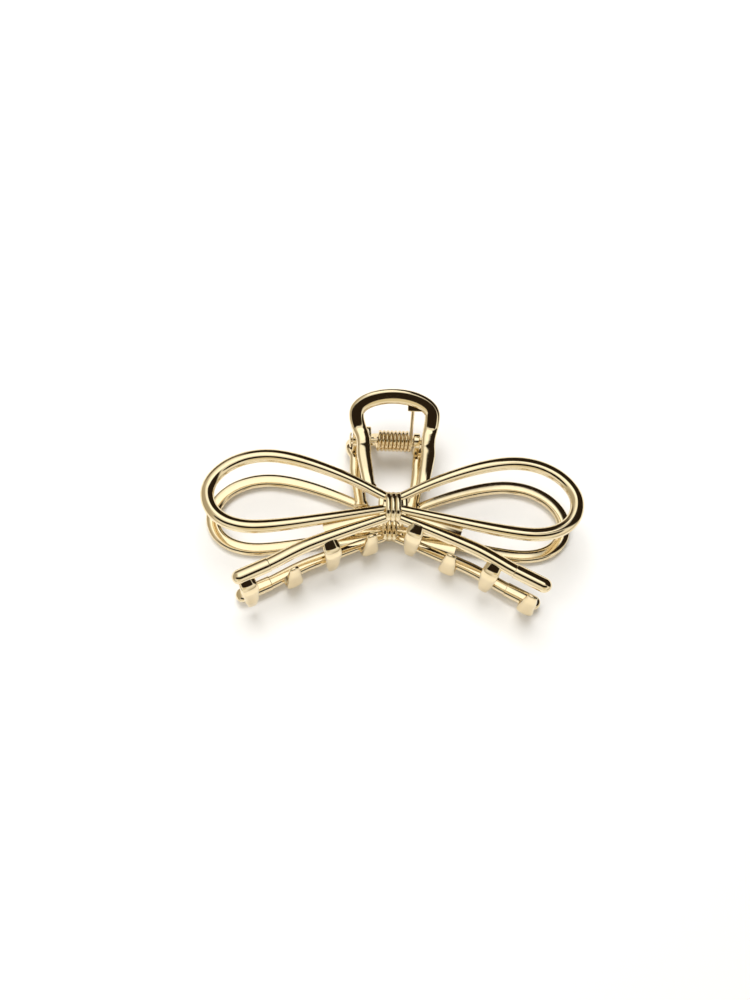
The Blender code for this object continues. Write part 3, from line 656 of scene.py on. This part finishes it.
def band_shell(form, bow, handle):
    """Arm, arch and arm as one band, made flat and then bent at the hinge.

    Where the arms meet the bow they widen as a quarter circle does: 1 - sqrt(1 - u^2).
    """
    left, right = ARCH_MIDDLE - handle.arch_half, ARCH_MIDDLE + handle.arch_half
    thick, high = handle.band_thickness, handle.arm_height
    arm = (handle.arm_width, thick)
    bow_arm = (0.82 * handle.arm_width, 0.82 * thick)
    hinge_arm = (0.97 * handle.arm_width, thick)
    band = (handle.band_width, thick)
    inset = 0.85 * MM
    shoulder, top = form.reach - form.crown - inset, form.reach - inset
    foot = -2.0 * MM
    side_reach, foot_reach = 0.58 * form.crown, 0.31 * (shoulder - foot)
    stations = [
        (at_knot(-5.2 * MM, 3.8 * MM, BOW_ARM_HEIGHT, bow), (-1.5, 9, 0.4), 4 * MM, *bow_arm),
        ((-6.7 * MM, -5 * MM, high + 0.4 * MM), (0, 1, -0.08), 1.6 * MM, *arm),
        ((-6.85 * MM, foot, high + 0.1 * MM), (-0.12, 1, -0.03), foot_reach, *hinge_arm),
        ((left, shoulder, high), (0, 1, 0), side_reach, *band),
        ((ARCH_MIDDLE, top, high), (1, 0, 0), 0.52 * handle.arch_half, *band),
        ((right, shoulder, high), (0, -1, 0), side_reach, *band),
        ((8.1 * MM, foot, high + 0.1 * MM), (-0.06, -1, 0.03), foot_reach, *hinge_arm),
        ((8.0 * MM, -5 * MM, high + 0.4 * MM), (0, -1, 0.08), 1.6 * MM, *arm),
        (at_knot(6.7 * MM, 4.5 * MM, BOW_ARM_HEIGHT, bow), (-1.3, -9, -0.4), 4 * MM, *bow_arm),
    ]
    points, sizes = route(stations, 44)
    flare_foot = 5.0 * MM - bow.knot_drop
    near = np.clip(1.0 - (points[:, 1] - flare_foot) / handle.flare, 0.0, 0.98)
    spread = 2 * handle.flare * (1.0 - np.sqrt(1.0 - near**2))
    sizes = sizes + np.stack([spread, 0.0 * spread], axis=-1)
    points, sizes = round_ends(points, sizes, 0.2 * MM, 0.2 * MM)
    grid, edge = sweep(points, sizes, section(count=64, top=3.1, back=3.2, waist=-0.1))
    return shell((bend(grid, form, handle), edge))


def leaned(places, form, handle):
    """Places on a handle's flat ledge, turned with its lean and lifted to the arms."""
    turn = np.array(Matrix.Rotation(form.lean, 3, "X"))
    return places @ turn.T + np.array((0.0, LEDGE_Y, handle.arm_height))


def ledge_shell(form, handle):
    """Ledge inside the handle's right side, which a spring leg bears on."""
    right = ARCH_MIDDLE + handle.arch_half
    low = (3.2 * MM, form.ledge, LEDGE_BOTTOM)
    high = (right - handle.band_width / 4, form.ledge + LEDGE_DEPTH, LEDGE_TOP)
    block, edge = rounded_block(low, high, 12.0)
    return shell((leaned(block, form, handle), edge))


def ear_shell(low_x, high_x, hinge, handle):
    """Ear with a bore: its rim is a circle below the pin and |y|^4 + |z|^4 = 1 above it, up into the arm."""
    turn = np.linspace(0.0, math.tau, 96, endpoint=False)
    rise, side = np.sin(turn), np.abs(np.cos(turn))
    raised = (side / hinge.ear_radius) ** 4 + (rise / (handle.arm_height + 0.3 * MM)) ** 4
    rim = np.where(rise > 0.0, raised**-0.25, hinge.ear_radius)
    x, y, edge = section(count=32, top=7.0, back=7.0, waist=0.0)
    middle, half = (rim + hinge.bore_radius) / 2, (rim - hinge.bore_radius) / 2
    radius = middle[:, None] + half[:, None] * x
    across = (low_x + high_x) / 2 + (high_x - low_x) / 2 * y + 0.0 * radius
    grid = np.stack([across, radius * np.cos(turn)[:, None], radius * np.sin(turn)[:, None]], axis=-1)
    return shell((grid, np.broadcast_to(edge, radius.shape)), ring=True)


def rib_shell(x, bow):
    """One turn of the binding: an oval section carried round a larger oval, |y|^n + |z|^n = 1."""
    turn = np.linspace(0.0, math.tau, 120, endpoint=False)
    power = 2.0 / 2.3
    wide, high = 3.02 * MM, 1.76 * MM
    y = wide * np.sign(np.cos(turn)) * np.abs(np.cos(turn)) ** power
    z = high * np.sign(np.sin(turn)) * np.abs(np.sin(turn)) ** power
    ahead = np.stack([np.roll(y, -1) - np.roll(y, 1), np.roll(z, -1) - np.roll(z, 1)], axis=-1)
    away = unit(np.stack([ahead[:, 1], -ahead[:, 0]], axis=-1))
    around = np.linspace(0.0, math.tau, 32, endpoint=False)
    out = 0.6 * bow.rib_radius * np.cos(around)
    across = bow.rib_radius * np.sign(np.sin(around)) * np.abs(np.sin(around)) ** 0.85
    rows = y[:, None] + away[:, :1] * out
    heights = z[:, None] + away[:, 1:] * out
    middle_y = BINDING_MIDDLE - bow.knot_drop
    grid = np.stack([x + across + 0.0 * rows, rows + middle_y, heights + bow.knot_height], axis=-1)
    crest = 0.6 * (out > 0.56 * bow.rib_radius)
    return shell((grid, np.broadcast_to(crest, rows.shape)), ring=True)


def turned(profile):
    """Surface turned about the pin axis from (x, radius) points; its end points lie near the axis."""
    turn = np.linspace(0.0, math.tau, 56, endpoint=False)
    x, radius = np.array(profile, float).T[:, :, None]
    grid = np.stack([x + 0.0 * turn, radius * np.cos(turn), radius * np.sin(turn)], axis=-1)
    return grid, np.broadcast_to(np.clip(radius / HEAD_RADIUS, 0.0, 1.0) ** 6, grid.shape[:2])


def pin_shell(hinge):
    """Pin with a low domed rivet head on the left and a peened end on the right."""
    left, right, thin = -9.5 * MM, 9.5 * MM, hinge.pin_radius
    head, peen, tall = HEAD_RADIUS, 1.0 * MM, 0.5 * MM
    rim, foot, run = 0.02 * MM, 0.03 * MM, 0.1 * MM
    angle = np.linspace(0.02, math.pi / 2, 14)
    dome = [(left - tall * math.cos(a) ** 0.7, head * math.sin(a) ** 0.6) for a in angle]
    button = [(right + tall * math.cos(a) ** 0.8, peen * math.sin(a) ** 0.7) for a in angle[::-1]]
    neck = [(left + rim, head - foot), (left + foot, thin + run), (left + run, thin)]
    far = [(right - run, thin), (right - foot, thin + run), (right - rim, peen - foot)]
    return shell(turned(dome + neck + far + button))


def leg_end(form, hinge, handle, coil_half):
    """Where a spring leg ends, just inside a handle's ledge, in that half's casting frame."""
    below = LEDGE_BOTTOM - LEG_GAP - hinge.wire_radius
    place = np.array((COIL_MIDDLE + coil_half + LEG_OFFSET, form.ledge + LEDGE_DEPTH, below))
    return leaned(place, form, handle)


def spring_shell(hinge, handle):
    """Torsion spring: a helix on the pin between two straight legs that leave it as tangents.

    A leg to a point at distance d and angle q touches a coil of radius r at q plus or minus acos(r / d).
    """
    coil_half = hinge.coil_pitch * (COIL_TURNS + 0.3) / 2
    front = leg_end(FRONT_HANDLE, hinge, handle, coil_half)
    back = leg_end(BACK_HANDLE, hinge, handle, coil_half)
    back = np.array((2 * COIL_MIDDLE - back[0], back[1], -back[2]))

    def release(foot, way):
        distance = math.hypot(foot[1], foot[2])
        return math.atan2(foot[2], foot[1]) + way * math.acos(hinge.coil_radius / distance)

    start = release(back, -1) + math.tau
    end = release(front, 1) - math.tau * COIL_TURNS
    run = np.linspace(0.0, 1.0, 560)
    angle = start + (end - start) * run
    x = COIL_MIDDLE + coil_half * (2 * run - 1)
    coil = np.stack([x, hinge.coil_radius * np.cos(angle), hinge.coil_radius * np.sin(angle)], axis=-1)
    down = np.linspace(0.0, 1.0, 14)[:-1, None]
    points = np.concatenate([back + (coil[0] - back) * down, coil, front + (coil[-1] - front) * down[::-1]])
    sizes = np.full((len(points), 2), 2 * hinge.wire_radius)
    points, sizes = round_ends(points, sizes, 0.12 * MM, 0.12 * MM, 5)
    round_wire = section(count=20, top=2.0, back=2.0, waist=0.0)
    return shell(sweep(points, sizes, round_wire, side=np.array((1.0, 0.0, 0.0))))


# Operators

class CLIP_OT_loops(bpy.types.Operator):
    """Make the loops of the bow on both halves"""

    bl_idname = "clip.loops"
    bl_label = "Bow Loops"

    def execute(self, context):
        scene = context.scene
        for half in HALVES:
            shells = [loop_shell(side, scene.clip_bow) for side in SIDES]
            add_to_half("bow_loops", shells, polished_alloy(scene), half)
        return {"FINISHED"}


class CLIP_OT_tails(bpy.types.Operator):
    """Make the tails of the bow with their end pieces on both halves"""

    bl_idname = "clip.tails"
    bl_label = "Bow Tails"

    def execute(self, context):
        scene = context.scene
        for half in HALVES:
            shells = tail_shells(-1, scene.clip_bow) + tail_shells(1, scene.clip_bow)
            add_to_half("bow_tails", shells, polished_alloy(scene), half)
        return {"FINISHED"}


class CLIP_OT_knots(bpy.types.Operator):
    """Make the knot cores and the sunk webs on both halves"""

    bl_idname = "clip.knots"
    bl_label = "Knots and Webs"

    def execute(self, context):
        scene = context.scene
        for half in HALVES:
            webs = [web_shell(side, scene.clip_bow) for side in SIDES]
            add_to_half("knot_and_webs", knot_shells(scene.clip_bow) + webs, polished_alloy(scene), half)
        return {"FINISHED"}


class CLIP_OT_bindings(bpy.types.Operator):
    """Make the three-turn bindings around the knots"""

    bl_idname = "clip.bindings"
    bl_label = "Knot Bindings"

    def execute(self, context):
        scene = context.scene
        bow = scene.clip_bow
        for half in HALVES:
            shells = [rib_shell(step * bow.rib_pitch, bow) for step in (-1, 0, 1)]
            add_to_half("knot_binding_turns", shells, polished_alloy(scene), half)
        return {"FINISHED"}


class CLIP_OT_teeth(bpy.types.Operator):
    """Make the teeth of both halves"""

    bl_idname = "clip.teeth"
    bl_label = "Teeth"

    def execute(self, context):
        scene = context.scene
        grip = scene.clip_grip
        bulges = (grip.bulge, grip.bulge, grip.inner_bulge, grip.bulge)
        for half in HALVES:
            shells = [tooth_shell(x, out, scene.clip_bow, grip) for x, out in zip(TOOTH_PLACES, bulges)]
            add_to_half("teeth", shells, polished_alloy(scene), half)
        return {"FINISHED"}


class CLIP_OT_handles(bpy.types.Operator):
    """Make the arms and the arched handles of both halves"""

    bl_idname = "clip.handles"
    bl_label = "Arms and Handles"

    def execute(self, context):
        scene = context.scene
        handle = scene.clip_handle
        for half, form in zip(HALVES, (FRONT_HANDLE, BACK_HANDLE)):
            shells = [band_shell(form, scene.clip_bow, handle), ledge_shell(form, handle)]
            add_to_half("handle", shells, polished_alloy(scene), half)
        return {"FINISHED"}


class CLIP_OT_ears(bpy.types.Operator):
    """Make the hinge ears of both halves"""

    bl_idname = "clip.ears"
    bl_label = "Hinge Ears"

    def execute(self, context):
        scene = context.scene
        for half in HALVES:
            shells = [ear_shell(*span, scene.clip_hinge, scene.clip_handle) for span in EAR_SPANS]
            add_to_half("hinge_ears", shells, polished_alloy(scene), half)
        return {"FINISHED"}


class CLIP_OT_pin(bpy.types.Operator):
    """Make the riveted hinge pin"""

    bl_idname = "clip.pin"
    bl_label = "Hinge Pin"

    def execute(self, context):
        scene = context.scene
        pin = make_piece("riveted_pin", [pin_shell(scene.clip_hinge)], polished_alloy(scene))
        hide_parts("hinge_pin")
        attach(pin, "back_half")
        return {"FINISHED"}


class CLIP_OT_spring(bpy.types.Operator):
    """Make the torsion spring"""

    bl_idname = "clip.spring"
    bl_label = "Torsion Spring"

    def execute(self, context):
        scene = context.scene
        coil = spring_shell(scene.clip_hinge, scene.clip_handle)
        spring = make_piece("coiled_spring", [coil], spring_wire_finish(scene))
        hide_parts("torsion_spring")
        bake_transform(spring)
        return {"FINISHED"}


def floor_material(scene):
    """Matt pale floor with a faint mottle."""
    material = bpy.data.materials.new("pale_floor")
    material.use_nodes = True
    tree = material.node_tree
    shader = tree.nodes["Principled BSDF"]
    shader.inputs["Specular IOR Level"].default_value = 0.1
    shader.inputs["Roughness"].default_value = 0.9
    place = tree.nodes.new("ShaderNodeTexCoord").outputs["Object"]
    tone = tree.nodes.new("ShaderNodeRGB")
    tone.outputs["Color"].default_value = (*scene.clip_finish.floor, 1.0)
    darker = tree.nodes.new("ShaderNodeRGB")
    darker.outputs["Color"].default_value = (*[0.985 * c for c in scene.clip_finish.floor], 1.0)
    mottle = noise(tree, place, 900.0, 3.0)
    mottled = blend_colour(tree, mottle, tone.outputs["Color"], darker.outputs["Color"])
    tree.links.new(mottled, shader.inputs["Base Color"])
    return material


# Tones of the studio: the one that fills it, the dark one, and patches of (direction, radius, soft edge,
# tone), angles in degrees, laid over each other in this order
STUDIO_TONE = (0.50, 0.46, 0.38)
DARK_TONE = (0.024, 0.016, 0.010)
STUDIO_PATCHES = (
    ((0.0, 0.0, 1.0), 58.0, 30.0, (0.95, 0.93, 0.87)),       # bright overhead
    ((0.0, -0.99, 0.05), 20.0, 14.0, (0.97, 0.95, 0.90)),    # bright low in front
    ((-0.85, 0.15, 0.50), 22.0, 26.0, (0.48, 0.43, 0.34)),   # tan on the left
    ((-0.35, 0.90, 0.12), 20.0, 14.0, (0.15, 0.12, 0.09)),   # brown low behind
    ((0.62, 0.64, 0.42), 50.0, 6.0, DARK_TONE),              # dark behind on the right
    ((-0.15, 0.50, 0.85), 11.0, 4.0, (1.2, 1.19, 1.14)),     # highlight high behind
    ((-0.03, 0.27, 0.96), 12.0, 4.0, (1.4, 1.4, 1.37)),      # highlight nearly overhead
    ((0.0, -0.72, 0.69), 11.0, 8.0, (0.78, 0.70, 0.52)),     # tan high in front
)
CAMERA_PATCHES = (-0.38, -0.13, 0.13, 0.38)                  # dark ones beside the camera, along X
CAMERA_PATCH_RADIUS, CAMERA_PATCH_SOFT = 12.0, 3.0


def studio_world(scene, toward_camera):
    """Soft studio with bright, tan and dark patches, and a dark row of them about the camera's direction."""
    world = bpy.data.worlds.new("soft_studio")
    world.use_nodes = True
    scene.world = world
    tree = world.node_tree
    shade = tree.nodes["Background"]
    toward = tree.nodes.new("ShaderNodeTexCoord").outputs["Generated"]

    def facing(direction):
        node = tree.nodes.new("ShaderNodeVectorMath")
        node.operation = "DOT_PRODUCT"
        tree.links.new(toward, node.inputs[0])
        node.inputs[1].default_value = tuple(unit(np.array(direction)))
        return node.outputs["Value"]

    def patch(under, direction, radius, soft, tone):
        """Within the radius of a direction the studio has this tone, which fades over the soft edge."""
        inner, outer = math.cos(math.radians(radius)), math.cos(math.radians(radius + soft))
        mask = ramp(tree, facing(direction), outer, inner)
        mix = tree.nodes.new("ShaderNodeMix")
        mix.data_type = "RGBA"
        tree.links.new(mask, mix.inputs["Factor"])
        mix.inputs["B"].default_value = (*tone, 1.0)
        if isinstance(under, bpy.types.NodeSocket):
            tree.links.new(under, mix.inputs["A"])
        else:
            mix.inputs["A"].default_value = (*under, 1.0)
        return mix.outputs["Result"]

    look = STUDIO_TONE
    for patch_values in STUDIO_PATCHES:
        look = patch(look, *patch_values)
    for beside in CAMERA_PATCHES:
        direction = (toward_camera[0] + beside, toward_camera[1], toward_camera[2])
        look = patch(look, direction, CAMERA_PATCH_RADIUS, CAMERA_PATCH_SOFT, DARK_TONE)
    tree.links.new(look, shade.inputs["Color"])


def placed(x, y, z, place):
    """Matrix of an object with these axes at this place."""
    axes = np.eye(4)
    axes[:3, 0], axes[:3, 1], axes[:3, 2], axes[:3, 3] = x, y, z, place
    return Matrix(axes.tolist())


def add_floor(scene):
    mesh = bpy.data.meshes.new("floor")
    far, under = 1.2, -0.02 * MM
    corners = [(-far, -far, under), (far, -far, under), (far, far, under), (-far, far, under)]
    mesh.from_pydata(corners, [], [(0, 1, 2, 3)])
    mesh.materials.append(floor_material(scene))
    floor = bpy.data.objects.new("floor", mesh)
    scene.collection.objects.link(floor)


def add_camera(scene):
    """Camera whose right side is CAMERA_RIGHT, with CAMERA_DOWN made square to it."""
    right, down = unit(np.array(CAMERA_RIGHT)), np.array(CAMERA_DOWN)
    down = unit(down - (down @ right) * right)
    data = bpy.data.cameras.new("camera")
    data.lens = CAMERA_LENS
    data.sensor_width = 36.0
    data.clip_start = 0.01
    camera = bpy.data.objects.new("camera", data)
    camera.matrix_world = placed(right, -down, np.cross(right, -down), CAMERA_PLACE)
    scene.collection.objects.link(camera)
    scene.camera = camera


def add_softbox(scene, name, place, size, watts):
    """Round white lamp that faces the clip and isn't mirrored in it."""
    light = bpy.data.lights.new(name, "AREA")
    light.shape = "DISK"
    light.size = size
    light.energy = watts
    light.color = (1.0, 1.0, 1.0)
    lamp = bpy.data.objects.new(name, light)
    away = unit(np.array(place) - np.array((0.0, 0.0, 0.01)))
    side = unit(np.cross(UP, away))
    lamp.matrix_world = placed(side, np.cross(away, side), away, place)
    lamp.visible_glossy = False
    scene.collection.objects.link(lamp)


class CLIP_OT_stage(bpy.types.Operator):
    """Make the floor, the studio light and the camera"""

    bl_idname = "clip.stage"
    bl_label = "Stage"

    def execute(self, context):
        scene = context.scene
        add_floor(scene)
        add_camera(scene)
        studio_world(scene, tuple(unit(np.array(CAMERA_PLACE) - np.array(CLIP_MIDDLE))))
        add_softbox(scene, "overhead_softbox", (-0.03, 0.20, 0.60), 0.42, 3.0)
        add_softbox(scene, "side_softbox", (-0.35, -0.10, 0.50), 0.40, 0.8)
        scene.view_settings.view_transform = "Standard"
        return {"FINISHED"}


class CLIP_PT_panel(bpy.types.Panel):
    """Sizes, finishes and steps of the claw clip"""

    bl_idname = "CLIP_PT_panel"
    bl_label = "Claw Clip"
    bl_space_type = "VIEW_3D"
    bl_region_type = "UI"
    bl_category = "Claw Clip"

    def draw(self, context):
        layout = self.layout
        for name, group in SETTINGS:
            box = layout.box()
            box.label(text=group.__doc__)
            for entry in group.__annotations__:
                box.prop(getattr(context.scene, name), entry)
        for operator in OPERATORS:
            layout.operator(operator.bl_idname)


SETTINGS = (
    ("clip_bow", ClipBowSizes),
    ("clip_grip", ClipGripSizes),
    ("clip_handle", ClipHandleSizes),
    ("clip_hinge", ClipHingeSizes),
    ("clip_finish", ClipFinish),
)
OPERATORS = (
    CLIP_OT_loops,
    CLIP_OT_tails,
    CLIP_OT_knots,
    CLIP_OT_bindings,
    CLIP_OT_teeth,
    CLIP_OT_handles,
    CLIP_OT_ears,
    CLIP_OT_pin,
    CLIP_OT_spring,
    CLIP_OT_stage,
)


def register():
    for name, group in SETTINGS:
        bpy.utils.register_class(group)
        setattr(bpy.types.Scene, name, bpy.props.PointerProperty(type=group))
    for item in (*OPERATORS, CLIP_PT_panel):
        bpy.utils.register_class(item)


def unregister():
    for item in (CLIP_PT_panel, *reversed(OPERATORS)):
        bpy.utils.unregister_class(item)
    for name, group in reversed(SETTINGS):
        delattr(bpy.types.Scene, name)
        bpy.utils.unregister_class(group)


def main():
    register()
    bpy.ops.clip.loops()
    bpy.ops.clip.tails()
    bpy.ops.clip.knots()
    bpy.ops.clip.bindings()
    bpy.ops.clip.teeth()
    bpy.ops.clip.handles()
    bpy.ops.clip.ears()
    bpy.ops.clip.pin()
    bpy.ops.clip.spring()
    bpy.ops.clip.stage()


if __name__ == "__main__":
    main()
